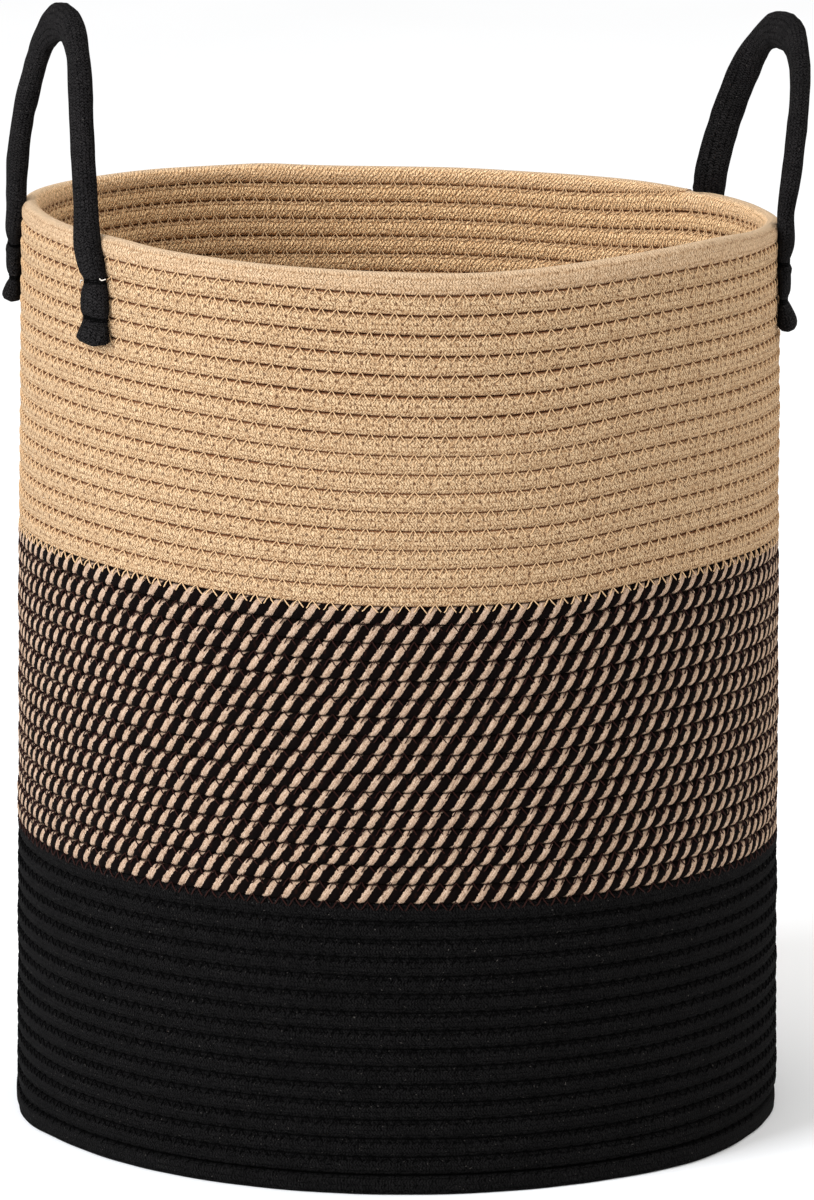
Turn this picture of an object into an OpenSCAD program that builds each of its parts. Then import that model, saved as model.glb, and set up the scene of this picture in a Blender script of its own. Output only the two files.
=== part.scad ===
// Coiled rope laundry basket, open at the top, with a flat coiled floor, a
// wall in three colour bands and two upright rope handles sewn to the outside.
// The wall is one rope wound up course by course and sewn to the course below.
// Each course is drawn here as one closed ring with a rounded face.
// Frame: millimetres, +Z up, origin at the centre of the underside,
// the handles on -X and +X.

/* [Basket] */
// Outside diameter of the wall at the floor
base_d = 386; // [320:1:440]
// Outside diameter of the wall at the rim
rim_d = 376; // [310:1:430]
// Thickness of the rope wall
wall_t = 9; // [8:0.5:12]
// Height of one rope course
course_h = 9.2; // [9:0.1:10]

/* [Bands] */
// Courses in the dark lower band, with the floor's own edge
lower_courses = 16; // [10:1:20]
// Courses in the two-tone middle band
middle_courses = 16; // [10:1:20]
// Courses in the natural upper band, below the rim
upper_courses = 16; // [10:1:20]

/* [Stitching] */
// Height of the sewing thread seen in a groove
thread_h = 1.2; // [1:0.1:1.6]
// How far the thread stands out of the groove floor
thread_t = 0.7; // [0.4:0.1:0.8]
// Depth of the groove between two courses
groove = 1.4; // [1:0.1:1.8]

/* [Handles] */
// Width of the flattened handle rope
rope_w = 16; // [14:0.5:17]
// Thickness of the flattened handle rope
rope_t = 10.5; // [9:0.5:11]
// Angle from the handle's middle to each sewn leg, round the basket
leg_angle = 20.5; // [19:0.5:22]
// Height of the left arch's centre line above its bend line
left_rise = 90.5; // [74:0.5:96]
// Height of the right arch's centre line above its bend line
right_rise = 78; // [74:0.5:96]
// Radius of the arches over the top
arch_r = 36; // [32:1:38]
// Height of the bend line above the rim
bend_above_rim = 10; // [8:0.5:12]
// Lean of the left arch as it stands, outward
left_lean = -5; // [-8:0.5:14]
// Lean of the right arch as it stands, outward
right_lean = 12.5; // [-8:0.5:14]
// How far the left handle is sewn towards the front of straight opposite
left_turn = 5; // [0:0.5:8]
// How far out the arches can be laid from upright
outward_limit = 140; // [120:1:145]

/* [Sewn legs] */
// Upper thread binding, below the rim
upper_binding_drop = 17; // [15:0.5:20]
// Lower thread binding, below the rim
lower_binding_drop = 35.5; // [33:0.5:38]
// Cut end of the leg, below the rim
leg_end_drop = 49; // [47:0.5:54]
// Height of one thread binding
binding_h = 3.2; // [2.5:0.1:4]

/* [Hidden] */
$fn = 96;

courses = lower_courses + middle_courses + upper_courses + 1;
total_h = courses*course_h;
z_lower = lower_courses*course_h;
z_middle = z_lower + middle_courses*course_h;
z_upper = z_middle + upper_courses*course_h;

// Outer crest radius of the wall at a height
function wall_r(z) = base_d/2 + (rim_d - base_d)/2*z/total_h;
crest_drop = 0.35;              // how much lower a course is a quarter away from its crest
seat = 0.8;                     // half height of the flat floor of a groove
gap = 0.3;                      // clear gap beside a part that moves
tack = 0.05;                    // clear gap beside a part that is sewn on

leg_r = wall_r(total_h - leg_end_drop) + tack + rope_t/2;
hinge_x = leg_r*cos(leg_angle);
hinge_y = leg_r*sin(leg_angle);
hinge_z = total_h + bend_above_rim;
// From a leg's foot to the arch's centre, its straight length up to the arch,
// and its slope off upright, for an arch centred c above the bend line
function reach(c) = sqrt(hinge_y*hinge_y + c*c);
function leg_len(c) = sqrt(pow(reach(c), 2) - arch_r*arch_r);
function splay(c) = 90 - atan2(c, hinge_y) - asin(arch_r/reach(c));
neck_w = rope_w - 3;            // the rope drawn in under a binding
neck_t = rope_t - 1.6;
bind_t = 0.75;                  // thickness of the thread wound round the neck

// Points up one face of courses i0..i1: side is 1 outside and -1 inside
function face(i0, i1, side) = [for (i = [i0 : i1 - 1])
    let (z = i*course_h, r = side > 0 ? wall_r(z + course_h/2) : wall_r(z + course_h/2) - wall_t)
    for (p = [[r - side*groove, z], [r - side*groove, z + seat],
              [r - side*crest_drop, z + course_h*0.28], [r, z + course_h*0.5],
              [r - side*crest_drop, z + course_h*0.72],
              [r - side*groove, z + course_h - seat], [r - side*groove, z + course_h]]) p];
function flip(v) = [for (i = [len(v) - 1 : -1 : 0]) v[i]];

// Stacked courses i0..i1 as one closed ring
module wall_band(i0, i1) {
    rotate_extrude()
        polygon(concat(face(i0, i1, 1), flip(face(i0, i1, -1))));
}

// Thread rings in the grooves under courses i0..i1, outside and inside
module wall_thread(i0, i1) {
    for (i = [i0 : i1]) {
        z = i*course_h;
        so = max(wall_r(z + course_h/2), wall_r(z - course_h/2)) - groove;
        si = min(wall_r(z + course_h/2), wall_r(z - course_h/2)) - wall_t + groove;
        rotate_extrude() translate([so, z - thread_h/2]) square([thread_t, thread_h]);
        rotate_extrude() translate([si - thread_t, z - thread_h/2]) square([thread_t, thread_h]);
    }
}

// Floor: a flat disc of rope turns, grooved on top, plain underneath, with the
// outermost turn as the wall's first course
base_r = wall_r(course_h/2);
floor_turns = floor(base_r/course_h) - 1;
floor_t = course_h - 0.6;
module base_coil() {
    color([0.07, 0.07, 0.07])
    rotate_extrude()
        polygon(concat(
            [[0, 0], [base_r - 2.4, 0], [base_r - 0.6, 1.6], [base_r, course_h*0.5],
             [base_r - crest_drop, course_h*0.72], [base_r - groove, course_h - seat],
             [base_r - groove, course_h], [base_r - wall_t + groove, course_h],
             [base_r - wall_t + groove, floor_t]],
            flip([for (k = [1 : floor_turns - 1]) let (r = k*course_h)
                for (p = [[r - course_h*0.5, floor_t], [r - seat, floor_t - groove], [r + seat, floor_t - groove]]) p]),
            [[0, floor_t]]));
}
module base_stitching() {
    color([0.05, 0.05, 0.05])
    for (k = [1 : floor_turns - 1])
        translate([0, 0, floor_t - groove]) rotate_extrude()
            translate([k*course_h - thread_h/2, 0]) square([thread_h, thread_t]);
}

module lower_wall_coil() { color([0.07, 0.07, 0.07]) wall_band(1, lower_courses); }
module middle_wall_coil() { color([0.45, 0.35, 0.28]) wall_band(lower_courses, lower_courses + middle_courses); }
module upper_wall_coil() { color([0.80, 0.66, 0.50]) wall_band(lower_courses + middle_courses, courses - 1); }
module lower_wall_stitching() { color([0.05, 0.05, 0.05]) wall_thread(1, lower_courses - 1); }
module middle_wall_stitching() { color([0.28, 0.15, 0.10]) wall_thread(lower_courses, lower_courses + middle_courses - 1); }
module upper_wall_stitching() { color([0.45, 0.28, 0.15]) wall_thread(lower_courses + middle_courses, courses - 2); }

// Rim: the last course, with a rounded top
module rim_coil() {
    z = (courses - 1)*course_h;
    r = wall_r(z + course_h/2);
    m = r - wall_t/2;
    color([0.84, 0.71, 0.56])
    rotate_extrude() {
        intersection() {
            translate([m, z + course_h/2]) circle(r = course_h/2, $fn = 48);
            translate([r - wall_t, z + course_h/2]) square([wall_t, course_h/2]);
        }
        polygon([[r - groove, z], [r - groove, z + seat], [r - crest_drop, z + course_h*0.28], [r, z + course_h*0.5],
                 [r - wall_t, z + course_h*0.5], [r - wall_t + crest_drop, z + course_h*0.28],
                 [r - wall_t + groove, z + seat], [r - wall_t + groove, z]]);
    }
}
module rim_stitching() { color([0.62, 0.44, 0.28]) wall_thread(courses - 1, courses - 1); }

// Flattened rope section, w wide and t thick
module rope_section(w, t) {
    square([w - t, t], center = true);
    for (s = [-1, 1]) translate([s*(w - t)/2, 0]) circle(d = t, $fn = 48);
}

// Handle in its own frame: bend line along Y through the origin, +X outward, +Z up
module arch(rise) {
    c = rise - arch_r;
    for (s = [-1, 1]) translate([0, s*hinge_y, 0]) {
        rotate([s*splay(c), 0, 0]) rotate([0, 0, 90]) linear_extrude(leg_len(c) + 1) rope_section(rope_w - 0.2, rope_t - 0.2);
        rotate([90, 0, 0]) cylinder(d = rope_t, h = rope_w - 1, center = true, $fn = 48);
    }
    translate([0, 0, c]) rotate([0, 0, 90]) rotate([90, 0, 0]) rotate([0, 0, splay(c)])
        rotate_extrude(angle = 180 - 2*splay(c)) translate([arch_r, 0]) rope_section(rope_w, rope_t);
}

// Sewn leg at side s of a handle, in the basket's frame for the handle on +X
module sewn_leg(s) {
    z0 = total_h - leg_end_drop;
    zl = total_h - lower_binding_drop;
    zu = total_h - upper_binding_drop;
    n = binding_h/2;
    difference() {
        rotate([0, 0, s*leg_angle]) translate([leg_r, 0, 0]) rotate([0, 0, 90]) {
            for (b = [[z0 + 3, zl - n - 2], [zl + n + 2, zu - n - 2], [zu + n + 2, hinge_z + 4]])
                translate([0, 0, b[0]]) linear_extrude(b[1] - b[0]) rope_section(rope_w, rope_t);
            translate([0, 0, z0]) linear_extrude(3.01) rope_section(rope_w - 3, rope_t - 1.2);
            for (z = [zl, zu]) translate([0, 0, z - n - 2.01]) linear_extrude(2*n + 4.02) rope_section(neck_w, neck_t);
        }
        // room for the arch's round end and for the arch laid all the way out
        translate([hinge_x, s*hinge_y, hinge_z]) {
            rotate([90, 0, 0]) cylinder(r = rope_t/2 + gap, h = 40, center = true, $fn = 64);
            rotate([0, outward_limit, 0]) translate([rope_t/2 + gap - 40, -20, 0]) cube([40, 40, 60]);
            translate([-20, -20, -rope_t/2 - gap]) cube([40, 40, 40]);
        }
    }
}
// Two thread bindings round the necks of one leg
module leg_bindings(s) {
    for (d = [lower_binding_drop, upper_binding_drop])
        rotate([0, 0, s*leg_angle]) translate([leg_r, 0, total_h - d]) rotate([0, 0, 90])
            linear_extrude(binding_h, center = true) difference() {
                rope_section(neck_w + 2*bind_t, neck_t + 2*bind_t);
                rope_section(neck_w, neck_t);
            }
}

module handle_loop(lean, rise) {
    color([0.12, 0.12, 0.12])
    translate([hinge_x, 0, hinge_z]) rotate([0, lean, 0]) arch(rise);
}
module left() { rotate([0, 0, left_turn]) mirror([1, 0, 0]) children(); }

module right_handle_loop() { handle_loop(right_lean, right_rise); }
module right_handle_front_leg() { color([0.12, 0.12, 0.12]) sewn_leg(-1); }
module right_handle_rear_leg() { color([0.12, 0.12, 0.12]) sewn_leg(1); }
module right_handle_front_bindings() { color([0.03, 0.03, 0.03]) leg_bindings(-1); }
module right_handle_rear_bindings() { color([0.03, 0.03, 0.03]) leg_bindings(1); }
module left_handle_loop() { left() handle_loop(left_lean, left_rise); }
module left_handle_front_leg() { color([0.12, 0.12, 0.12]) left() sewn_leg(-1); }
module left_handle_rear_leg() { color([0.12, 0.12, 0.12]) left() sewn_leg(1); }
module left_handle_front_bindings() { color([0.03, 0.03, 0.03]) left() leg_bindings(-1); }
module left_handle_rear_bindings() { color([0.03, 0.03, 0.03]) left() leg_bindings(1); }

base_coil();
base_stitching();
lower_wall_coil();
lower_wall_stitching();
middle_wall_coil();
middle_wall_stitching();
upper_wall_coil();
upper_wall_stitching();
rim_coil();
rim_stitching();
left_handle_loop();
left_handle_front_leg();
left_handle_rear_leg();
left_handle_front_bindings();
left_handle_rear_bindings();
right_handle_loop();
right_handle_front_leg();
right_handle_rear_leg();
right_handle_front_bindings();
right_handle_rear_bindings();
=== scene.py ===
import math
import bpy
import numpy as np
from mathutils import Matrix, Vector


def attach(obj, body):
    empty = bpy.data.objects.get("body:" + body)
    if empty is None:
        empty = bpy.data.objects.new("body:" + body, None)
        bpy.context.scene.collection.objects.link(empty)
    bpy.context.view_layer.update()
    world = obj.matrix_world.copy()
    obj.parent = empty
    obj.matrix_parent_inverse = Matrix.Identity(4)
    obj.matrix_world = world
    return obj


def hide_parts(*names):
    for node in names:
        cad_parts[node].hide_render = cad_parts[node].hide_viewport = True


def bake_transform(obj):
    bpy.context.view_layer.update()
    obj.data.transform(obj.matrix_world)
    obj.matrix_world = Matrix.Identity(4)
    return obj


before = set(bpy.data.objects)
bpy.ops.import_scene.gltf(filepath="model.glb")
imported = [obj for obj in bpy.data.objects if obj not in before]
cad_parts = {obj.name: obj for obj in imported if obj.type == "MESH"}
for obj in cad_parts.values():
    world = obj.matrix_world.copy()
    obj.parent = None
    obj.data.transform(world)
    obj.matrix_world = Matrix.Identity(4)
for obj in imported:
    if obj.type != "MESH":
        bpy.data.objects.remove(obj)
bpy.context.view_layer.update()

# ---------------------------------------------------------------- the rope's route, in millimetres
P = 9.2                      # height of one course
A0 = 22.0                    # direction in which every course starts, degrees
H = 450.8
HALF_T = 4.5                 # half of the wall's thickness
STITCHES = 156.5             # stitches in one turn
LAYS = 63.3                  # full twists of the two-tone rope in one turn
V_MIX, V_TAN, V_RIM, V_END = 14.853, 30.853, 47.0, 48.0


def wall_r(z):
    return 193.0 - 5.0*z/H


UP_, DOWN = 1.4, 3.5          # how far a stitch reaches above and below its groove


def value_noise(x, seed):
    i = np.floor(x)
    f = x - i
    def h(k):
        q = np.sin(k*127.1 + seed*311.7)*43758.5453
        return 2*(q - np.floor(q)) - 1
    u = f*f*(3 - 2*f)
    return h(i)*(1 - u) + h(i + 1)*u


def smooth01(t):
    t = np.clip(t, 0, 1)
    return t*t*(3 - 2*t)


def around(table):
    """A smooth closed function of direction from (degrees, value) pairs."""
    a = np.array([t[0] for t in table], float)
    y = np.array([t[1] for t in table], float)
    o = np.argsort(a)
    a, y = a[o], y[o]
    a = np.concatenate([a - 360, a, a + 360])
    y = np.concatenate([y, y, y])
    g = np.arange(-360, 720, 0.5)
    v = np.interp(g, a, y)
    k = np.exp(-0.5*(np.arange(-24, 25)/5.6)**2)
    v = np.convolve(v, k/k.sum(), mode="same")
    return lambda d: np.interp(np.mod(d, 360.0), g, v)


# how far the soft wall's courses ride up round the basket, at heights of 312, 373 and 438 mm
rise_low = around([(5, 4), (22, 3), (36, 1.2), (60, 1), (93, 1.8), (125, 3.8), (163, 6.2), (185, 7.4), (193, 7.8),
                   (205, 7.2), (213, 6.2), (221, 4.8), (228, 3.6), (237, 2.3), (246, 1.2), (258, 0.7), (266, 1.0),
                   (276, 1.6), (282, 2.8), (289, 5.8), (297, 7.9), (306, 9.1), (317, 9.3), (325, 8.6), (345, 6.4)])
rise_mid = around([(5, 4.6), (22, 1.6), (30, -0.4), (38, -1.6), (60, -1.2), (80, -0.5), (93, 0.6), (108, 2.8), (125, 4.2),
                   (142, 5.6), (163, 7.4), (180, 8.5), (193, 9), (205, 8), (213, 7.1), (221, 6.3), (228, 5.1),
                   (237, 2.9), (246, 1), (255, 0.2), (263, -0.2), (270, 0.1), (276, 1.2), (282, 3.1), (289, 5.7),
                   (293, 6.9), (301, 8.2), (311, 8.7), (325, 8.3), (345, 6.6)])
rise_top = around([(5, 6.2), (14, 5.5), (22, 4.2), (28, 2.0), (34, 0.0), (42, -1.7), (50, -2.4), (60, -2), (80, -1.2), (87, -0.7),
                   (93, 0.5), (100, 2.4), (108, 3.8), (125, 5.9), (142, 7.6), (163, 9.6), (180, 10.9), (190, 10.9),
                   (200, 10.2), (208, 9.6), (215, 8.4), (225, 7.5), (235, 6.9), (243, 5.8), (250, 4.9), (258, 3.9),
                   (266, 4), (274, 4.6), (282, 5.4), (289, 6.8), (297, 8.1), (306, 8.8), (317, 8.7), (325, 8.4),
                   (345, 7.2)])
rim_top = around([(5, 448.4), (22, 447.4), (34, 447.8), (45, 447.5), (55, 447.2), (65, 447.8), (75, 447.8),
                  (85, 448.4), (92, 449.6), (98, 451.7), (102, 451.3), (110, 452.0), (117, 452.9), (131, 454.0),
                  (142, 455.3), (163, 458.2), (180, 458.8), (195, 457.4), (208, 457.0), (216, 454.6), (224, 453.8),
                  (232, 452.4), (240, 451.6), (248, 450.9), (259, 449.9), (265, 449.4), (273, 450.0), (286, 452.5),
                  (296, 454.2), (307, 455.2), (315, 455), (323, 452.8), (345, 450), (355, 448.6)])


def lift(alpha, z):
    a, b, c = rise_low(alpha), rise_mid(alpha), rise_top(alpha)
    out = 3.0*np.clip(z/147.0, 0, 1)
    out = out + (a - 3.0)*np.clip((z - 147.0)/165.0, 0, 1)
    out = out + (b - a)*np.clip((z - 312.0)/61.0, 0, 1)
    return out + (c - b)*np.clip((z - 373.0)/65.0, 0, 1)


def climb(v, k):
    n = np.floor(v)
    t = v - n
    return n + smooth01(t/0.14)*(1 - k) + t*k


def route(v):
    """Centre line of the rope: direction in degrees, radius, height and half height at v turns."""
    v = np.asarray(v, float)
    alpha = A0 - 360.0*v
    n = np.floor(v)
    up = v >= 0
    c = np.where(up, climb(v, np.clip(n/14.0, 0, 1)), 0.0)
    z = P*(0.5 + c)
    b = 0.5*P*(0.965 + 0.035*np.clip(n/14.0, 0, 1))
    z = z + np.where(up, lift(alpha, z), 0.0)*np.clip(c, 0, 1)
    # the rim fills the space between the course below and its own top line
    t = v - V_RIM
    low = P*V_RIM + P*t
    low = low + lift(alpha, low)
    top = rim_top(alpha)
    hr = np.maximum(top - low, 1.2)
    w = smooth01((v - (V_RIM - 0.06))/0.12)
    z = z*(1 - w) + (top - hr/2)*w
    b = b*(1 - w) + (hr/2)*w
    narrow = np.clip(1 - z/300.0, 0, 1)*np.clip(11 + 10*v, 0, 1)
    narrow = narrow*(0.9 + 0.8*np.cos(np.radians(alpha - 165.0)))
    r = wall_r(np.clip(z, 0, H)) - HALF_T - narrow
    flat = climb(v, np.clip((-n - 1)/6.0, 0, 1))
    # the soft base stands out a little at two corners
    d1 = np.mod(alpha - 184.0 + 180, 360) - 180
    d2 = np.mod(alpha - 304.0 + 180, 360) - 180
    corner = (3.2*np.exp(-(d1/8.0)**2) + 3.6*np.exp(-(d2/13.0)**2) + 0.5)*np.clip(1 - z/30.0, 0, 1)*np.clip(11 + 10*v, 0, 1)
    r = np.where(up, r, wall_r(4.6) - HALF_T - narrow + P*flat) + corner
    # slight unevenness of hand-fed rope
    r = r + np.where(up, 0.30*value_noise(v*11.0, 3) + 0.22*value_noise(v*29.0, 5), 0.0)*np.clip(c, 0, 1)
    r = r + np.where(up, 0.7*np.sin(np.radians(2*alpha + 40))*z/H + 0.4*np.sin(np.radians(3*alpha + 100))*z/H, 0.0)
    z = z + np.where(v > 1, 0.07*value_noise(v*17.0, 9) + 0.06*value_noise(v*41.0, 11), 0.0)*(1 - w)
    return alpha, r, z, b


def groove_phase(v):
    """Stitch count along the groove under the course at v turns."""
    return STITCHES*v + 0.9*value_noise(v*7.0, 21) + 0.35*value_noise(v*31.0, 23)


def axes(alpha):
    a = np.radians(alpha)
    er = np.stack([np.cos(a), np.sin(a), np.zeros_like(a)], -1)
    ez = np.zeros_like(er)
    ez[..., 2] = 1
    return er, ez


# ---------------------------------------------------------------- meshes
def make_mesh(name, rings, uvs, cap_uv=(0.0, 0.0)):
    """A tube through rings (n, m, 3) in mm, closed round each ring, capped at both ends."""
    n, m = rings.shape[:2]
    i = np.arange(n - 1)[:, None]
    j = np.arange(m)[None, :]
    j2 = (j + 1) % m
    quads = np.stack([i*m + j, i*m + j2, (i + 1)*m + j2, (i + 1)*m + j], -1).reshape(-1, 4)
    verts = rings.reshape(-1, 3)
    extra, tris = [], []
    base = n*m
    for ring, flip in ((rings[0], True), (rings[-1], False)):
        extra.append(ring)
        extra.append(ring.mean(axis=0, keepdims=True))
        k = np.arange(m)
        k2 = (k + 1) % m
        c = np.full(m, base + m)
        tri = np.stack([base + k2, base + k, c], -1) if flip else np.stack([base + k, base + k2, c], -1)
        tris.append(tri)
        base += m + 1
    verts = np.concatenate([verts] + extra)*0.001
    tris = np.concatenate(tris)
    loops = np.concatenate([quads.ravel(), tris.ravel()]).astype(np.int32)
    totals = np.concatenate([np.full(len(quads), 4), np.full(len(tris), 3)]).astype(np.int32)
    starts = np.concatenate([[0], np.cumsum(totals)[:-1]]).astype(np.int32)
    me = bpy.data.meshes.new(name)
    me.vertices.add(len(verts))
    me.vertices.foreach_set("co", verts.astype(np.float32).ravel())
    me.loops.add(len(loops))
    me.loops.foreach_set("vertex_index", loops)
    me.polygons.add(len(totals))
    me.polygons.foreach_set("loop_start", starts)
    me.polygons.foreach_set("use_smooth", np.ones(len(totals), bool))
    for layer, uv in uvs.items():
        flat = np.concatenate([uv.reshape(-1, 2), np.tile(np.array(cap_uv, float), (len(tris)*3, 1))])
        lay = me.uv_layers.new(name=layer)
        lay.data.foreach_set("uv", flat.astype(np.float32).ravel())
    me.update(calc_edges=True)
    me.validate()
    obj = bpy.data.objects.new(name, me)
    bpy.context.scene.collection.objects.link(obj)
    return obj


def corners(n, m, per_ring, per_col):
    """Loop values (n-1, m, 4, 2) from one value per ring and m+1 values round the section."""
    i = np.arange(n - 1)[:, None]
    j = np.arange(m)[None, :]
    u = np.stack([per_ring[i + 0*j], per_ring[i + 0*j], per_ring[i + 1 + 0*j], per_ring[i + 1 + 0*j]], -1)
    w = np.stack([per_col[j + 0*i], per_col[j + 1 + 0*i], per_col[j + 1 + 0*i], per_col[j + 0*i]], -1)
    return np.stack([u, w], -1)


def superellipse(phi, n):
    c, s = np.cos(phi), np.sin(phi)
    return np.sign(c)*np.abs(c)**(2/n), np.sign(s)*np.abs(s)**(2/n)


def arc_share(phi, cx, cy, a, b):
    """Share of the way round the section at each angle of phi."""
    g = np.linspace(0, 2*np.pi, 4001)
    gx, gy = cx(g), cy(g)
    d = np.concatenate([[0], np.cumsum(np.hypot(np.diff(gx)*a, np.diff(gy)*b))])
    return np.interp(phi, g, d/d[-1]), (g, d/d[-1])


def section(phi, outer, inner, top=None, squash=1.0):
    """Unit section: its own fullness on the outer face, the inner face and, on the rim, the top."""
    ox, oy = superellipse(phi, outer)
    ix, iy = superellipse(phi, inner)
    x, y = np.where(np.cos(phi) >= 0, ox, ix), np.where(np.cos(phi) >= 0, oy, iy)
    if top is not None:
        tx, ty = superellipse(phi, top)
        up = np.mod(phi, 2*np.pi) < np.pi
        x, y = np.where(up, tx, x), np.where(up, ty*squash, y)
    return x, y


def stitch_uv(v, y, b, m):
    """Per-loop phase of the nearer groove's stitches and distance from that groove."""
    n = len(v)
    up_ph = groove_phase(v + 1) + 0.5
    lo_ph = groove_phase(v)
    base = np.floor(lo_ph[0])
    i = np.arange(n - 1)[:, None]
    j = np.arange(m)[None, :]
    upper = (j < m//2) + 0*i
    def ph(k):
        return np.where(upper > 0, up_ph[k], lo_ph[k]) - base
    u = np.stack([ph(i + 0*j), ph(i + 0*j), ph(i + 1 + 0*j), ph(i + 1 + 0*j)], -1)
    dist = b[:, None] - np.abs(y)
    jj = (j + 1) % m
    d = np.stack([dist[i, j + 0*i], dist[i, jj + 0*i], dist[i + 1, jj + 0*i], dist[i + 1, j + 0*i]], -1)
    # distance is negative on the lower half, and the rim has no groove above it
    top_free = ((v[:-1] >= V_RIM - 1e-6)[:, None] & (j < m//2))[..., None]
    d = np.where(upper[..., None], np.where(top_free, 9.0, d), -d)
    return np.stack([u, d], -1)


def coil(name, v0, v1, m, rings_per_turn, outer=3.3, inner=2.5, twisted=False, overlap=1.05, half_t=HALF_T, pucker=0.45, rim=False):
    n = int(round((v1 - v0)*rings_per_turn)) + 1
    v = np.linspace(v0, v1, n)
    alpha, r, z, b = route(v)
    er, ez = axes(alpha)
    unit_x = lambda g: section(g, outer, inner)[0]
    unit_y = lambda g: section(g, outer, inner)[1]
    if twisted:
        # two natural strands of 5 faces and two black strands of 7 faces
        edges, lobe = [0.0], []
        for share, faces, high in ((0.215, 5, 1.0), (0.285, 7, 0.70))*2:
            for k in range(faces):
                edges.append(edges[-1] + share/faces)
                lobe.append(high*math.sin(math.pi*k/faces)**0.75)
        col, lobe = np.array(edges), np.array(lobe)
        m = 24
        turn = LAYS*v + 0.13*value_noise(v*5.0, 31) + 0.05*value_noise(v*23.0, 33)
        _, (g, gs) = arc_share(0.0, unit_x, unit_y, half_t, 0.5*P)
        share = np.mod(col[None, :m] - turn[:, None], 1.0)
        phi = np.interp(share, gs, g)
        cx, cy = section(phi, outer, inner)
        lump = 0.030*value_noise(v[:, None]*380.0 + 5.0*np.arange(m)[None, :]//6, 41)
        scale = 0.885 + 0.125*lobe[None, :] + lump*lobe[None, :]
        cx, cy = cx*scale, cy*scale
    else:
        phi0 = 2*np.pi*np.arange(m + 1)/m
        col, _ = arc_share(phi0, unit_x, unit_y, half_t, 0.5*P)
        phi = phi0[None, :m] + 0*v[:, None]
        cx, cy = section(phi, outer, inner)
        if v0 < 0:
            # the lowest course stands squarer on the floor
            w = smooth01((v + 1.25)/0.2)[:, None]
            fx, fy = section(phi, 6.0, inner)
            cx, cy = cx*(1 - w) + fx*w, cy*(1 - w) + fy*w
        if rim:
            w = smooth01((v - v0)/0.05)[:, None]
            rx, ry = section(phi, outer, inner, 2.1, 1/overlap)
            cx, cy = cx*(1 - w) + rx*w, cy*(1 - w) + ry*w
            cx = cx*(1 - 0.6*smooth01((v - v1 + 0.02)/0.02))[:, None]
    y = cy*(b*overlap)[:, None]
    x = cx*half_t
    if pucker and not twisted:
        for ph, side, far in ((groove_phase(v + 1) + 0.5, 1, DOWN), (groove_phase(v), -1, UP_)):
            if rim and side == 1:
                continue
            dx = (np.mod(ph, 1.0) - 0.5)*7.5
            dy = side*y - (b[:, None] - far)
            pull = np.exp(-(dx[:, None]**2 + dy**2)/1.7**2)*pucker
            x = x - np.sign(cx)*pull*(side*y > 0)
    ring = er[:, None, :]*(r[:, None] + x)[..., None] + ez[:, None, :]*(z[:, None] + y)[..., None]
    if v1 <= 0:
        ring[..., 2] = np.maximum(ring[..., 2], 0.15)
    length = np.cumsum(np.concatenate([[0], np.abs(np.diff(v))*2*np.pi*0.5*(r[1:] + r[:-1])]))
    start = 1181.0*(v0 - math.floor(v0))
    uvs = {"rope": corners(n, m, length + start, col), "stitch": stitch_uv(v, y, b, m)}
    return make_mesh(name, ring, uvs, cap_uv=(start, 0.25))


def thread(name, v0, v1, side, radius=0.34, sunk=0.0):
    """Zigzag sewing thread over the groove under the courses v0..v1; side is 1 outside and -1 inside."""
    per = 6
    k0, k1 = int(np.ceil(groove_phase(np.array([v0]))[0])), int(np.floor(groove_phase(np.array([v1]))[0]))
    vv = np.linspace(v0 - 0.02, v1 + 0.02, 60000)
    ph = np.maximum.accumulate(groove_phase(vv))
    want = np.arange(k0*per, k1*per + 1)/per
    step = np.mod(np.arange(len(want)), per)           # 0 is the low tip, 3 the high tip
    slant = np.array([0.0, -0.02, 0.02, 0.0, 0.02, -0.02])[step]
    v = np.interp(want + slant, ph, vv)
    stitch = np.floor(want + 0.5)
    down = DOWN*(1 + 0.14*value_noise(stitch*1.0 + 0.37, 51 + side))
    up = UP_*(1 + 0.3*value_noise(stitch*1.0 + 0.71, 61 + side))
    share = np.array([0.0, 0.30, 0.66, 1.0, 0.66, 0.30])[step]
    off = -down*(1 - share) + up*share
    depth = sunk + np.array([0.95, 0.34, 0.50, 1.0, 0.12, 0.0])[step] + 0.07*value_noise(want*1.7, 53)
    if side < 0:
        # the inner face is rounder, so the thread bridges a wider groove
        depth = sunk + np.array([0.9, -0.02, 0.10, 0.9, 0.10, -0.02])[step] + 0.07*value_noise(want*1.7, 53)
        off = np.where(off < 0, off*0.52, off*1.7)
    alpha, r1, z1, b1 = route(v)
    _, r0, z0, b0 = route(v - 1)
    alpha = alpha + 0.08*value_noise(want*1.3, 57 + side)
    er, ez = axes(alpha)
    rr = np.where(off < 0, r0*0.7 + r1*0.3, r1) + side*(HALF_T - depth)
    zz = 0.5*((z1 - b1) + (z0 + b0)) + off
    pos = er*rr[:, None] + ez*zz[:, None]
    nrm = er*side
    return sweep_round(name, pos, nrm, radius, want*7.5)


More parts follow.
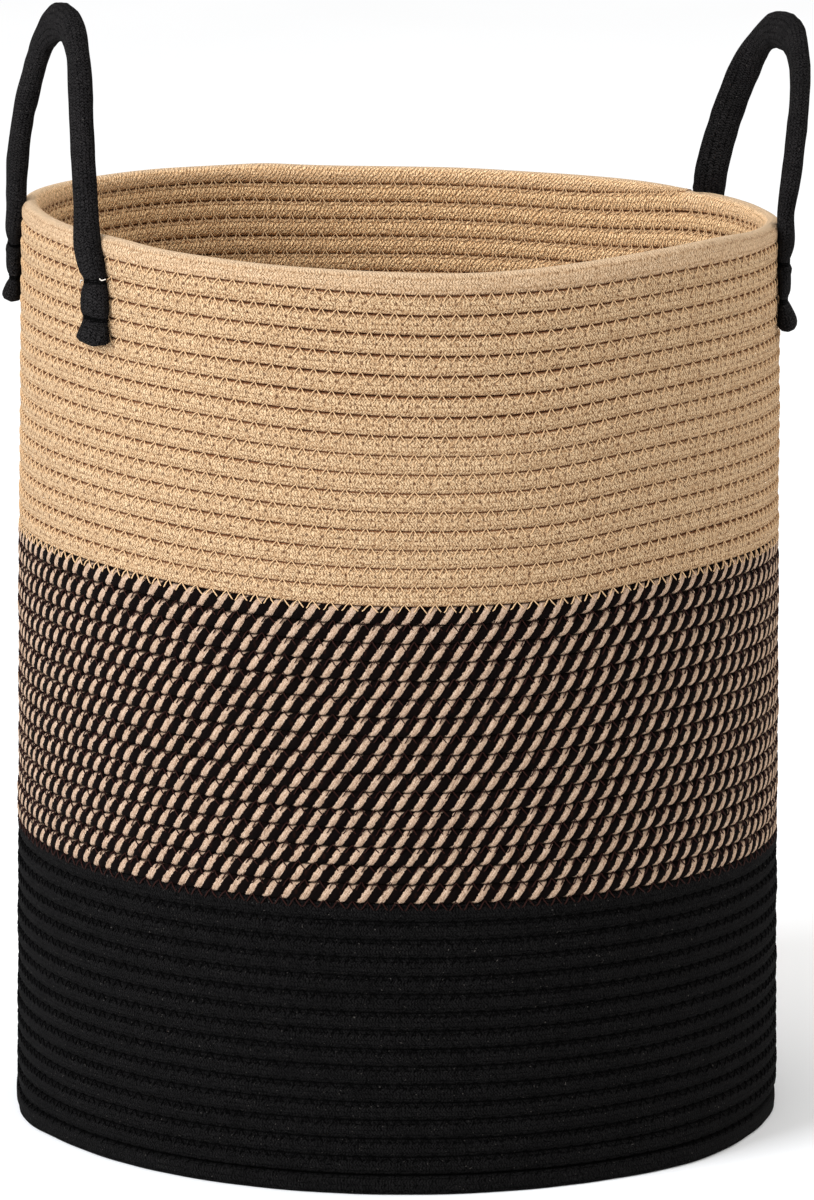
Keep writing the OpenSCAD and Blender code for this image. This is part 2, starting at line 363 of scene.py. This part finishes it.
def floor_thread(name, v0, v1, side, amp=2.05, radius=0.37):
    """The same zigzag on the floor's spiral; side is 1 on top and -1 underneath."""
    per = 6
    vv = np.linspace(v0, v1, 60000)
    _, rr, _, _ = route(vv)
    s = np.cumsum(np.concatenate([[0], np.abs(np.diff(vv))*2*np.pi*0.5*(rr[1:] + rr[:-1])]))/7.6
    want = np.arange(0, int(s[-1])*per)/per
    v = np.interp(want, s, vv)
    u = np.mod(np.arange(len(want)), per)/per
    tri = 1 - 4*np.abs(u - 0.5)
    alpha, r1, z1, _ = route(v)
    tip = np.abs(tri) > 0.9
    er, ez = axes(alpha)
    depth = np.where(tip, 1.15, 0.55)
    rr = r1 + P/2 + tri*amp
    zz = z1 + side*(P/2 - depth)
    pos = er*rr[:, None] + ez*zz[:, None]
    return sweep_round(name, pos, ez*side, radius, want*7.6)


def sweep_round(name, pos, nrm, radius, s, m=4):
    t = np.gradient(pos, axis=0)
    t /= np.linalg.norm(t, axis=1, keepdims=True) + 1e-12
    w = np.cross(t, nrm)
    w /= np.linalg.norm(w, axis=1, keepdims=True) + 1e-12
    q = np.cross(w, t)
    ang = 2*np.pi*(np.arange(m) + 0.5)/m
    ring = pos[:, None, :] + radius*(np.cos(ang)[None, :, None]*q[:, None, :] - np.sin(ang)[None, :, None]*w[:, None, :])
    # q, -w, t is left-handed when w = t x n, so the ring runs the other way round
    ring = ring[:, ::-1, :]
    return make_mesh(name, ring, {"rope": corners(len(pos), m, s, np.arange(m + 1)/m)})


# ---------------------------------------------------------------- materials
class Mat:
    def __init__(self, name, rough=0.9, spec=0.2, sheen=0.0, sheen_rough=0.5, sheen_tint=(1, 1, 1, 1)):
        self.mat = bpy.data.materials.new(name)
        self.mat.use_nodes = True
        self.nt = self.mat.node_tree
        self.nt.nodes.clear()
        out = self.nt.nodes.new("ShaderNodeOutputMaterial")
        self.bsdf = self.nt.nodes.new("ShaderNodeBsdfPrincipled")
        self.nt.links.new(self.bsdf.outputs[0], out.inputs[0])
        self.bsdf.inputs["Roughness"].default_value = rough
        self.bsdf.inputs["Specular IOR Level"].default_value = spec
        if sheen:
            self.bsdf.inputs["Sheen Weight"].default_value = sheen
            self.bsdf.inputs["Sheen Roughness"].default_value = sheen_rough
            self.bsdf.inputs["Sheen Tint"].default_value = sheen_tint

    def new(self, kind):
        return self.nt.nodes.new(kind)

    def put(self, sock, val):
        if isinstance(val, bpy.types.NodeSocket):
            self.nt.links.new(val, sock)
        elif isinstance(val, (tuple, list)) and len(val) == 3 and sock.type == "RGBA":
            sock.default_value = (*val, 1)
        else:
            sock.default_value = val

    def m(self, op, a, b=0.0, c=0.0, clamp=False):
        n = self.new("ShaderNodeMath")
        n.operation = op
        n.use_clamp = clamp
        for k, val in enumerate((a, b, c)):
            self.put(n.inputs[k], val)
        return n.outputs[0]

    def uv(self, name):
        n = self.new("ShaderNodeUVMap")
        n.uv_map = name
        s = self.new("ShaderNodeSeparateXYZ")
        self.put(s.inputs[0], n.outputs[0])
        return s.outputs[0], s.outputs[1]

    def obj(self):
        return self.new("ShaderNodeTexCoord").outputs["Object"]

    def xyz(self, x, y, z=0.0):
        n = self.new("ShaderNodeCombineXYZ")
        for k, val in enumerate((x, y, z)):
            self.put(n.inputs[k], val)
        return n.outputs[0]

    def noise(self, vec, scale, detail=2.0, rough=0.5):
        n = self.new("ShaderNodeTexNoise")
        self.put(n.inputs["Vector"], vec)
        self.put(n.inputs["Scale"], scale)
        self.put(n.inputs["Detail"], detail)
        self.put(n.inputs["Roughness"], rough)
        return n.outputs[0]

    def step(self, x, lo, hi, a=0.0, b=1.0):
        n = self.new("ShaderNodeMapRange")
        n.interpolation_type = "SMOOTHSTEP"
        for k, val in enumerate((x, lo, hi, a, b)):
            self.put(n.inputs[k], val)
        return n.outputs[0]

    def mix(self, fac, a, b, kind="MIX"):
        n = self.new("ShaderNodeMix")
        n.data_type = "RGBA"
        n.blend_type = kind
        self.put(n.inputs[0], fac)
        self.put(n.inputs[6], a)
        self.put(n.inputs[7], b)
        return n.outputs[2]

    def ramp(self, fac, stops):
        n = self.new("ShaderNodeValToRGB")
        e = n.color_ramp.elements
        while len(e) < len(stops):
            e.new(0.5)
        for k, (p, c) in enumerate(stops):
            e[k].position = p
            e[k].color = (*c, 1)
        self.put(n.inputs[0], fac)
        return n.outputs[0]

    def bump(self, height, dist, strength=1.0):
        n = self.new("ShaderNodeBump")
        n.inputs["Strength"].default_value = strength
        n.inputs["Distance"].default_value = dist
        self.put(n.inputs["Height"], height)
        self.put(self.bsdf.inputs["Normal"], n.outputs[0])

    def color(self, c):
        self.put(self.bsdf.inputs["Base Color"], c)


def lin(r, g, b):
    def f(c):
        c /= 255.0
        return c/12.92 if c <= 0.04045 else ((c + 0.055)/1.055)**2.4
    return (f(r), f(g), f(b))


def knit(M, s, v, around_mm, wale=3.3, loop=1.5, wander=1.0, slope=1.4):
    """Height 0..1 of a knitted cover with chevron loops, from length and turn round the section."""
    ob = M.obj()
    n1 = M.noise(ob, 330.0, 2.0)
    n2 = M.noise(ob, 420.0, 3.0, 0.6)
    a = M.m("ADD", M.m("MULTIPLY", v, around_mm/wale), M.m("MULTIPLY", M.m("SUBTRACT", n1, 0.5), 0.8*wander))
    fw = M.m("SUBTRACT", M.m("FRACT", a), 0.5)
    af = M.m("ABSOLUTE", fw)
    sp = M.m("ADD", M.m("DIVIDE", s, loop), M.m("MULTIPLY", M.m("SUBTRACT", n2, 0.5), 2.4*wander))
    ph = M.m("ADD", sp, M.m("MULTIPLY", af, slope))
    k = M.m("POWER", M.m("ABSOLUTE", M.m("SINE", M.m("MULTIPLY", ph, math.pi))), 0.65)
    side = M.step(af, 0.34, 0.5, 1.0, 0.45)
    return M.m("MULTIPLY", k, side)


def dents(M):
    """Masks for painted shade: 1 where the needle goes in, and 1 along the groove."""
    u, d = M.uv("stitch")
    dx = M.m("MULTIPLY", M.m("SUBTRACT", M.m("FRACT", u), 0.5), 7.5)
    dy = M.m("SUBTRACT", d, DOWN + 0.35)
    r = M.m("SQRT", M.m("ADD", M.m("MULTIPLY", dx, dx), M.m("MULTIPLY", M.m("MULTIPLY", dy, dy), 0.6)))
    rag = M.m("MULTIPLY", M.m("SUBTRACT", M.noise(M.obj(), 700.0, 2.0), 0.5), 1.6)
    return M.step(M.m("ADD", r, rag), 0.15, 1.0, 1.0, 0.0), M.step(M.m("ABSOLUTE", d), 0.15, 0.75, 1.0, 0.0)


def strokes(M, s, v, around_mm):
    """Slanted yarn strokes of a fine knitted cover, height 0..1, leaning both ways."""
    a = M.m("MULTIPLY", v, around_mm)
    out = []
    for lean, across, along, seed in ((0.62, 1.15, 0.42, 0.0), (-0.62, 1.05, 0.40, 31.0)):
        x = M.m("ADD", M.m("MULTIPLY", s, across), M.m("MULTIPLY", a, lean*across))
        y = M.m("ADD", M.m("MULTIPLY", a, along), M.m("MULTIPLY", s, -lean*along))
        out.append(M.noise(M.xyz(x, y, seed), 1.0, 2.0, 0.55))
    return M.m("ADD", M.m("MULTIPLY", out[0], 0.58), M.m("MULTIPLY", out[1], 0.42))


def natural_rope(name, bright, mid, dark, groove, knit_share=0.5, contrast=1.0, painted_crest_highlight=0.0):
    M = Mat(name, rough=0.95, spec=0.05, sheen=0.04, sheen_rough=0.6, sheen_tint=(1.0, 0.93, 0.84, 1))
    s, v = M.uv("rope")
    ob = M.obj()
    k = knit(M, s, v, 32.0)
    st = strokes(M, s, v, 32.0)
    fuzz = M.noise(ob, 1500.0, 3.0, 0.65)
    blot = M.noise(ob, 120.0, 3.0, 0.55)
    pit, groove_shade = dents(M)
    # noises gather round a half, so they are stretched before they are mixed with the knit
    st = M.step(st, 0.34, 0.66)
    fz = M.step(fuzz, 0.32, 0.68)
    show = M.step(blot, 0.35, 0.60, knit_share*0.6, knit_share)
    tone = M.m("ADD", M.m("MULTIPLY", k, show), M.m("MULTIPLY", st, M.m("SUBTRACT", 0.78, show)))
    tone = M.m("ADD", tone, M.m("MULTIPLY", fz, 0.22))
    tone = M.m("ADD", M.m("MULTIPLY", M.m("SUBTRACT", tone, 0.55), contrast), 0.55)
    c = M.ramp(tone, [(0.12, dark), (0.50, mid), (0.86, bright)])
    # painted shade: the needle holes are coloured dark, only faintly on the inner face; the bump further down also
    # dents them
    pit = M.m("MULTIPLY", pit, M.step(M.m("ABSOLUTE", M.m("SUBTRACT", v, 0.5)), 0.22, 0.27, 0.15, 1.0))
    c = M.mix(M.m("MULTIPLY", pit, 0.80), c, dark)
    # painted light: the face turned into the basket is made paler, so the inside of the basket reads brighter
    inner = M.step(M.m("ABSOLUTE", M.m("SUBTRACT", v, 0.5)), 0.22, 0.27, 1.0, 0.0)
    # there the yarn shows as long slanted strokes
    lean = M.m("ADD", M.m("DIVIDE", s, 2.4), M.m("MULTIPLY", v, 32.0*0.30))
    lean = M.m("ADD", lean, M.m("MULTIPLY", M.m("SUBTRACT", blot, 0.5), 3.0))
    line = M.step(M.m("ABSOLUTE", M.m("SUBTRACT", M.m("FRACT", lean), 0.5)), 0.20, 0.44)
    line = M.m("MULTIPLY", M.m("MULTIPLY", line, inner), M.step(fuzz, 0.30, 0.66, 1.0, 0.5))
    c = M.mix(inner, c, (1.80, 1.75, 1.62), "MULTIPLY")
    c = M.mix(M.m("MULTIPLY", line, 0.62), c, dark)
    # painted highlight: on the rim, the top of the section is blended towards the bright colour, as if lit from above
    if painted_crest_highlight:
        top = M.step(M.m("ABSOLUTE", M.m("SUBTRACT", v, 0.25)), 0.05, 0.15, painted_crest_highlight, 0.0)
        c = M.mix(top, c, bright)
    # painted shade: towards the groove where two courses meet, the colour goes to the darker groove colour
    c = M.mix(M.m("MULTIPLY", groove_shade, 0.85), c, groove)
    M.color(c)
    h = M.m("SUBTRACT", tone, M.m("ADD", M.m("MULTIPLY", pit, 0.6), M.m("MULTIPLY", line, 0.7)))
    M.bump(h, 0.0010, 1.0)
    return M.mat


def black_rope(name, dark, light, around_mm=32.0, wale=3.3, loop=1.5, lint=0.35, sheen=0.012, bump=0.0007):
    M = Mat(name, rough=0.95, spec=0.02, sheen=sheen, sheen_rough=0.5, sheen_tint=(0.8, 0.8, 0.82, 1))
    s, v = M.uv("rope")
    ob = M.obj()
    k = knit(M, s, v, around_mm, wale=wale, loop=loop, wander=0.9)
    st = M.step(strokes(M, s, v, around_mm), 0.34, 0.66)
    fuzz = M.noise(ob, 1400.0, 3.0, 0.6)
    blot = M.noise(ob, 90.0, 3.0, 0.6)
    tone = M.m("ADD", M.m("MULTIPLY", k, 0.45), M.m("MULTIPLY", st, 0.30))
    tone = M.m("ADD", tone, M.m("MULTIPLY", M.step(fuzz, 0.32, 0.68), 0.25))
    c = M.ramp(tone, [(0.33, dark), (0.80, light)])
    c = M.mix(M.step(blot, 0.4, 0.8, 0.0, 0.35), c, dark)
    speck = M.step(M.noise(ob, 900.0, 1.0), 0.72, 0.82, 0.0, lint)
    c = M.mix(speck, c, lin(120, 114, 108))
    M.color(c)
    M.bump(tone, bump, 0.9)
    return M.mat


def two_tone_rope(name):
    M = Mat(name, rough=0.95, spec=0.02, sheen=0.01, sheen_rough=0.5, sheen_tint=(1.0, 0.95, 0.9, 1))
    s, v = M.uv("rope")
    ob = M.obj()
    half = M.m("FRACT", M.m("MULTIPLY", v, 2.0))
    wob = M.m("MULTIPLY", M.m("SUBTRACT", M.noise(ob, 620.0, 3.0, 0.6), 0.5), 0.25)
    pos = M.m("ADD", half, wob)
    tan = M.m("MULTIPLY", M.step(pos, 0.0, 0.035), M.step(pos, 0.395, 0.43, 1.0, 0.0))
    fib = M.noise(M.xyz(M.m("MULTIPLY", s, 0.35), M.m("MULTIPLY", v, 44.0)), 1.0, 3.0, 0.6)
    fuzz = M.noise(ob, 1500.0, 3.0, 0.6)
    tone = M.m("ADD", M.m("MULTIPLY", fib, 0.5), M.m("MULTIPLY", fuzz, 0.5))
    ct = M.ramp(tone, [(0.34, lin(108, 82, 64)), (0.5, lin(171, 143, 120)), (0.66, lin(212, 189, 168))])
    cb = M.ramp(tone, [(0.3, lin(4, 2, 2)), (0.8, lin(17, 11, 10))])
    c = M.mix(tan, cb, ct)
    pit, groove_shade = dents(M)
    # painted shade: near-black along the groove between courses, and dark brown at the needle holes
    c = M.mix(M.m("MULTIPLY", groove_shade, 0.85), c, lin(16, 6, 4))
    c = M.mix(M.m("MULTIPLY", pit, 0.35), c, lin(40, 20, 14))
    M.color(c)
    edge = M.m("MULTIPLY", M.m("ABSOLUTE", M.m("SUBTRACT", half, 0.215)), 1.0)
    h = M.m("ADD", M.m("MULTIPLY", fib, 0.7), M.m("MULTIPLY", fuzz, 0.5))
    M.bump(h, 0.0008, 0.9)
    return M.mat


def thread_mat(name, light, dark, rough=0.8, spec=0.12):
    M = Mat(name, rough=rough, spec=spec)
    s, v = M.uv("rope")
    twist = M.m("FRACT", M.m("ADD", M.m("MULTIPLY", s, 1.2), M.m("MULTIPLY", v, 2.0)))
    ply = M.step(M.m("ABSOLUTE", M.m("SUBTRACT", twist, 0.5)), 0.05, 0.5)
    fuzz = M.noise(M.obj(), 1800.0, 2.0)
    c = M.mix(M.m("ADD", M.m("MULTIPLY", ply, 0.6), M.m("MULTIPLY", fuzz, 0.3), clamp=True), light, dark)
    M.color(c)
    M.bump(M.m("SUBTRACT", 1.0, ply), 0.00015, 0.7)
    return M.mat


mat_tan = natural_rope("natural_rope", lin(226, 195, 155), lin(183, 146, 107), lin(84, 42, 12), lin(128, 68, 26), contrast=1.3)
mat_rim = natural_rope("rim_rope", lin(222, 192, 157), lin(188, 153, 116), lin(92, 58, 30), lin(124, 72, 32), contrast=1.1, painted_crest_highlight=0.7)
mat_black = black_rope("black_rope", lin(0, 0, 0), lin(27, 26, 26), lint=0.5, sheen=0.006, bump=0.0020)
mat_mix = two_tone_rope("two_tone_rope")
mat_handle = black_rope("handle_rope", lin(0, 0, 0), lin(44, 42, 42), around_mm=44.0, wale=2.6, loop=1.5, lint=0.5, sheen=0.004, bump=0.0024)
mat_thr_tan = thread_mat("tan_thread", lin(222, 188, 146), lin(178, 140, 100))
mat_thr_brown = thread_mat("brown_thread", lin(46, 18, 12), lin(24, 9, 6))
mat_thr_black = thread_mat("black_thread", lin(6, 6, 6), lin(1, 1, 1), 0.95, 0.01)
mat_thr_white = thread_mat("loose_thread", lin(230, 222, 210), lin(180, 170, 158))


# ---------------------------------------------------------------- the basket
def settle(obj, mat, body, *nodes, slot=None):
    obj.data.materials.append(mat)
    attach(obj, body)
    if nodes:
        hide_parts(*nodes)
    return obj


settle(coil("base_coil_rope", -20.46, 0.0, 16, 190, overlap=1.02), mat_black, "basket", "base_coil", slot="black_rope")
LOW = [0.0, 7.4, V_MIX]
for k in range(2):
    settle(coil(f"lower_wall_rope_{k + 1}", LOW[k], LOW[k + 1], 16, 470, outer=2.7), mat_black, "basket",
           *(["lower_wall_coil"] if k == 0 else []), slot="black_rope")
MID = [V_MIX, V_MIX + 5.33, V_MIX + 10.66, V_TAN]
for k in range(3):
    settle(coil(f"middle_wall_rope_{k + 1}", MID[k], MID[k + 1], 24, 626, outer=3.0, twisted=True, overlap=1.09, half_t=4.7),
           mat_mix, "basket", *(["middle_wall_coil"] if k == 0 else []), slot="two_tone_rope")
UP = [V_TAN, 38.93, V_RIM]
for k in range(2):
    settle(coil(f"upper_wall_rope_{k + 1}", UP[k], UP[k + 1], 16, 626), mat_tan, "basket",
           *(["upper_wall_coil"] if k == 0 else []), slot="natural_rope")
settle(coil("rim_rope", V_RIM, V_END, 20, 626, rim=True, half_t=4.6), mat_rim, "basket", "rim_coil", slot="rim_rope")

for side, word in ((1, "outside"), (-1, "inside")):
    first = side == 1
    settle(thread(f"lower_wall_stitches_{word}", 0.16, V_MIX, side, radius=0.27, sunk=0.16), mat_thr_black, "basket",
           *(["lower_wall_stitching"] if first else []), slot="black_thread")
    settle(thread(f"middle_wall_stitches_{word}", V_MIX, V_TAN, side), mat_thr_brown, "basket",
           *(["middle_wall_stitching"] if first else []), slot="brown_thread")
    settle(thread(f"upper_wall_stitches_{word}", V_TAN, V_RIM, side), mat_thr_tan, "basket",
           *(["upper_wall_stitching"] if first else []), slot="tan_thread")
    settle(thread(f"rim_stitches_{word}", V_RIM, V_END, side), mat_thr_tan, "basket",
           *(["rim_stitching"] if first else []), slot="tan_thread")
    settle(floor_thread("floor_stitches_top" if first else "floor_stitches_underneath", -20.0, -1.02, side), mat_thr_black, "basket",
           *(["base_stitching"] if first else []), slot="black_thread")


# ---------------------------------------------------------------- the handles
ZB = 458.8


def handle(name, az, w0, hm, q, rr, x0, x1, x2, yc, beta, twist, thick, slim, pinch, tail, seed):
    """One flattened rope: a sewn leg up the wall, the arch, and the other sewn leg down.
    beta, pinch and tail are (leg at -y, leg at +y); twist turns the arch's +y side."""
    psi = np.linspace(0.0, math.pi, 1200)
    c, s = np.cos(psi), np.sin(psi)
    h = hm*np.abs(s)**(2/rr)
    arch = np.stack([x0 + x1*h/hm + x2*(h/hm)**2, w0*np.sign(c)*np.abs(c)**(2/q) + yc, ZB + h], -1)

    def leg(sy, k):
        (zu, zl), ze = pinch[k], tail[k]
        z = np.arange(ze, ZB, 0.5)
        squeeze = np.exp(-((z - zu)/3.0)**2) + np.exp(-((z - zl)/3.0)**2)
        foot = smooth01((zl - 3 - z)/10.0)
        out = wall_r(z) + 3.8 - slim - 1.2*squeeze + 1.6*foot + (1.0 + 3.0*slim)*smooth01((z - zu - 4)/12.0)
        f = smooth01((ZB - z)/26.0)
        be = math.radians(beta[k])
        wx, wy = out*math.cos(be), sy*out*math.sin(be)
        ax, ay = x0 + x1*(z - ZB)/hm*0.6, sy*w0 + yc
        return np.stack([ax*(1 - f) + wx*f, ay*(1 - f) + wy*f, z], -1)

    a, bleg = leg(+1, 1), leg(-1, 0)
    pts = np.concatenate([a, arch, bleg[::-1]])
    d = np.concatenate([[0], np.cumsum(np.linalg.norm(np.diff(pts, axis=0), axis=1))])
    keep = np.concatenate([[True], np.diff(d) > 1e-6])
    pts, d = pts[keep], d[keep]
    n = int(d[-1]/0.5)
    g = np.linspace(0, d[-1], n)
    pts = np.stack([np.interp(g, d, pts[:, k]) for k in range(3)], -1)
    ker = np.exp(-0.5*(np.arange(-20, 21)/7.0)**2)
    ker /= ker.sum()
    pad = np.concatenate([2*pts[0] - pts[20:0:-1], pts, 2*pts[-1] - pts[-2:-22:-1]])
    pts = np.stack([np.convolve(pad[:, k], ker, mode="valid") for k in range(3)], -1)
    step = 3
    pts, g = pts[::step], g[::step]
    n = len(pts)
    pts = pts + np.stack([0.35*value_noise(g/23.0, seed), 0.35*value_noise(g/19.0, seed + 1), 0*g], -1)
    t = np.gradient(pts, axis=0)
    t /= np.linalg.norm(t, axis=1, keepdims=True)
    # thickness direction: away from the wall on the legs, across the arch's plane above
    lean = math.atan2(x1 + x2, hm)
    plane = np.array([math.cos(lean), 0, -math.sin(lean)])
    radial = pts*np.array([1, 1, 0])
    radial /= np.linalg.norm(radial, axis=1, keepdims=True)
    f = smooth01((pts[:, 2] - 436.0)/40.0)[:, None]
    nrm = radial*(1 - f) + plane[None, :]*f
    nrm -= t*np.sum(nrm*t, axis=1, keepdims=True)
    nrm /= np.linalg.norm(nrm, axis=1, keepdims=True)
    wid = np.cross(t, nrm)
    turn = math.radians(twist)*smooth01((pts[:, 2] - 436.0)/15.0)*smooth01((ZB + hm + 2 - pts[:, 2])/34.0)*(g < g[-1]/2)
    turn = turn[:, None]
    nrm, wid = nrm*np.cos(turn) + wid*np.sin(turn), wid*np.cos(turn) - nrm*np.sin(turn)
    # widths along the rope
    z = pts[:, 2]
    rear = g < g[-1]/2
    zu = np.where(rear, pinch[1][0], pinch[0][0])
    zl = np.where(rear, pinch[1][1], pinch[0][1])
    ze = np.where(rear, tail[1], tail[0])
    on_leg = smooth01((ZB - z)/14.0)
    up_w = np.where(z > zu, 5.5, 2.6)
    squeeze = np.clip(np.exp(-((z - zu)/up_w)**2) + np.exp(-((z - zl)/2.6)**2), 0, 1)*(z < ZB)
    lobe = smooth01((zu - 3 - z)/4.0)
    foot = smooth01((zl - 3 - z)/8.0)
    crown = smooth01((z - (ZB + hm - 13.0))/12.0)
    hw = 8.2 + 1.1*lobe - 0.8*squeeze + 1.7*foot + 1.3*crown
    ht = thick + 0.2*crown - (0.7 + slim)*lobe*(1 - foot) - 1.5*squeeze + 0.3*foot
    hw = hw*(1 + 0.03*value_noise(g/9.0, seed + 3))
    ht = ht*(1 + 0.04*value_noise(g/11.0, seed + 4))
    end = np.minimum(g, g[-1] - g)
    close = np.sqrt(np.clip(1 - (1 - np.clip(end/4.5, 0, 1))**2, 0.0, 1))
    close = np.maximum(close, 0.12)
    m = 32
    ang = 2*np.pi*np.arange(m)/m
    cx, cy = superellipse(ang, 2.25)
    wob = 1 + 0.025*value_noise(g[:, None]/6.0 + 3.0*np.cos(ang)[None, :] + 7, seed + 5)
    ring = (pts[:, None, :] + (nrm[:, None, :]*cx[None, :, None]*(ht*close)[:, None, None]
            + wid[:, None, :]*cy[None, :, None]*(hw*close)[:, None, None])*wob[..., None])
    # t = nrm x wid would give outward faces; here wid = t x nrm, and nrm x wid = t
    ca, sa = math.cos(az), math.sin(az)
    rot = np.array([[ca, -sa, 0], [sa, ca, 0], [0, 0, 1]])
    ring = ring @ rot.T
    obj = make_mesh(name, ring, {"rope": corners(n, m, g, np.arange(m + 1)/m)}, cap_uv=(0.0, 0.1))
    return obj, pts @ rot.T, nrm @ rot.T, wid @ rot.T, g, hw, ht


def binding(name, path, zs, which):
    """Thread wound three times round the drawn-in rope."""
    pts, nrm, wid, g, hw, ht = path
    half = g < g[-1]/2 if which == "rear" else g >= g[-1]/2
    idx = np.where(half)[0]
    z = pts[idx, 2]
    o = np.argsort(z)
    idx = idx[o]
    z = z[o]
    all_pos, all_n = [], []
    turns, per = 3, 22
    k = np.arange(turns*per + 1)
    zz = zs - 1.25 + 2.5*k/(turns*per)
    p = np.stack([np.interp(zz, z, pts[idx, c]) for c in range(3)], -1)
    nn = np.stack([np.interp(zz, z, nrm[idx, c]) for c in range(3)], -1)
    ww = np.stack([np.interp(zz, z, wid[idx, c]) for c in range(3)], -1)
    a = np.interp(zz, z, ht[idx])
    b = np.interp(zz, z, hw[idx])
    ang = 2*np.pi*k/per
    cx, cy = superellipse(ang, 2.25)
    pos = p + nn*(cx*a)[:, None] + ww*(cy*b)[:, None]
    out = nn*(cx*b)[:, None] + ww*(cy*a)[:, None]
    out /= np.linalg.norm(out, axis=1, keepdims=True)
    return sweep_round(name, pos, out, 0.30, k*2.0, m=6)


HANDLES = {
    "right": dict(az=math.radians(-0.5), w0=64.22, hm=78.8, q=2.75, rr=1.36, x0=178.0, x1=14.14, x2=3.63, yc=-7.3,
                  beta=(21.5, 21.5), twist=56.0, thick=4.3, slim=0.5,
                  pinch=((431.0, 412.5), (432.5, 414.0)), tail=(396.5, 399.0), seed=71),
    "left": dict(az=math.radians(185.0), w0=57.32, hm=93.7, q=2.58, rr=1.20, x0=181.89, x1=1.47, x2=-9.03, yc=0.22,
                 beta=(21.5, 20.0), twist=10.0, thick=4.9, slim=0.0,
                 pinch=((435.4, 417.3), (435.4, 417.3)), tail=(404.0, 404.0), seed=91),
}


def loose_end(name, a, b, nrm):
    """A short end of thread left at a binding, from a to b, a little curled."""
    t = np.linspace(0, 1, 9)[:, None]
    side = np.cross(b - a, nrm)
    side /= np.linalg.norm(side)
    pos = a*(1 - t) + b*t + side*0.5*np.sin(t*4.0) + nrm*0.35*np.sin(t*math.pi)
    return sweep_round(name, pos, np.tile(nrm, (9, 1)), 0.28, np.arange(9)*0.6, m=6)


for word, spec in HANDLES.items():
    obj, pts, nrm, wid, g, hw, ht = handle(f"{word}_handle_rope", **spec)
    obj.data.materials.append(mat_handle)
    # leg at -y in the handle's own frame is the front one on the right and the rear one on the left
    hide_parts(f"{word}_handle_loop", f"{word}_handle_front_leg", f"{word}_handle_rear_leg")
    cx, cy = pts[len(pts)//2][0]*0.001*0.99, 0.0
    path = (pts, nrm, wid, g, hw, ht)
    for k, local in ((1, "rear"), (0, "front")):
        real = local if word == "right" else {"rear": "front", "front": "rear"}[local]
        for j in (0, 1):
            b = binding(f"{word}_handle_{real}_binding_{j + 1}", path, spec["pinch"][k][j], local)
            settle(b, mat_thr_black, "basket", *([f"{word}_handle_{real}_bindings"] if j == 0 else []), slot="black_thread")
        if word == "left" and real == "front":
            zc = spec["pinch"][k][0] + 0.8
            near = np.where(g < g[-1]/2 if local == "rear" else g >= g[-1]/2)[0]
            q = near[np.argmin(np.abs(pts[near, 2] - zc))]
            for tag, sgn in (("a", 1.0), ("b", -1.0)):
                far = 1.6 if sgn*wid[q][0] > 0 else 0.0
                base_p = pts[q] + sgn*wid[q]*(hw[q] - 1.4 + 0.4*far) + nrm[q]*(ht[q]*0.85 - 0.5*far)
                tip = pts[q] + sgn*wid[q]*(hw[q] + 1.9 + 1.2*far) + nrm[q]*(ht[q]*0.55) - np.array([0, 0, 0.9])
                settle(loose_end(f"loose_thread_end_{tag}", base_p, tip, nrm[q]), mat_thr_white, "basket")
    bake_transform(obj)


# ---------------------------------------------------------------- floor, light and camera
def floor():
    me = bpy.data.meshes.new("floor")
    s = 30.0
    me.from_pydata([(-s, -s, 0), (s, -s, 0), (s, s, 0), (-s, s, 0)], [], [(0, 1, 2, 3)])
    ob = bpy.data.objects.new("floor", me)
    bpy.context.scene.collection.objects.link(ob)
    M = Mat("floor_paint", rough=0.95, spec=0.0)
    M.color(M.mix(M.noise(M.obj(), 3.0, 2.0), (0.93, 0.93, 0.93), (0.90, 0.90, 0.90)))
    me.materials.append(M.mat)


floor()
world = bpy.data.worlds.new("studio")
bpy.context.scene.world = world
world.use_nodes = True
world.node_tree.nodes["Background"].inputs[0].default_value = (1.0, 1.0, 1.0, 1)
world.node_tree.nodes["Background"].inputs[1].default_value = 0.97


def area(name, place, aim, size, power, color=(1, 1, 1)):
    li = bpy.data.lights.new(name, "AREA")
    li.shape = "RECTANGLE"
    li.size, li.size_y = size
    li.energy = power
    li.color = color
    ob = bpy.data.objects.new(name, li)
    ob.location = place
    ob.rotation_euler = (Vector(aim) - Vector(place)).to_track_quat("-Z", "Y").to_euler()
    ob.visible_camera = False
    bpy.context.scene.collection.objects.link(ob)


area("key", (-3.4, -1.5, 2.2), (0, 0, 0.25), (2.0, 2.2), 203, (0.95, 0.98, 1.03))
area("fill", (3.4, 0.2, 1.6), (0, 0, 0.25), (1.6, 2.0), 34, (1.0, 0.97, 0.93))

D, elev, azim = 3.9648, 0.2056, math.radians(-15)
target = Vector((0, 0, 0.2254))
back = Vector((math.sin(azim)*math.cos(elev), -math.cos(azim)*math.cos(elev), math.sin(elev)))
cam_data = bpy.data.cameras.new("camera")
cam_data.sensor_fit = "HORIZONTAL"
cam_data.sensor_width = 36.0
cam_data.lens = 7901.26*36.0/814.0
cam_data.clip_start, cam_data.clip_end = 0.1, 100.0
cam = bpy.data.objects.new("camera", cam_data)
bpy.context.scene.collection.objects.link(cam)
right = Vector((math.cos(azim), math.sin(azim), 0))
up = back.cross(right)
look = Matrix((right, up, back)).transposed()
turn = Matrix.Rotation(0.0062, 3, "Z") @ Matrix.Rotation(0.00735, 3, "X") @ Matrix.Rotation(-0.00118, 3, "Y")
cam.matrix_world = Matrix.Translation(target + back*D) @ (look @ turn).to_4x4()
bpy.context.scene.camera = cam
bpy.context.scene.view_settings.view_transform = "Standard"
bpy.context.scene.view_settings.look = "None"
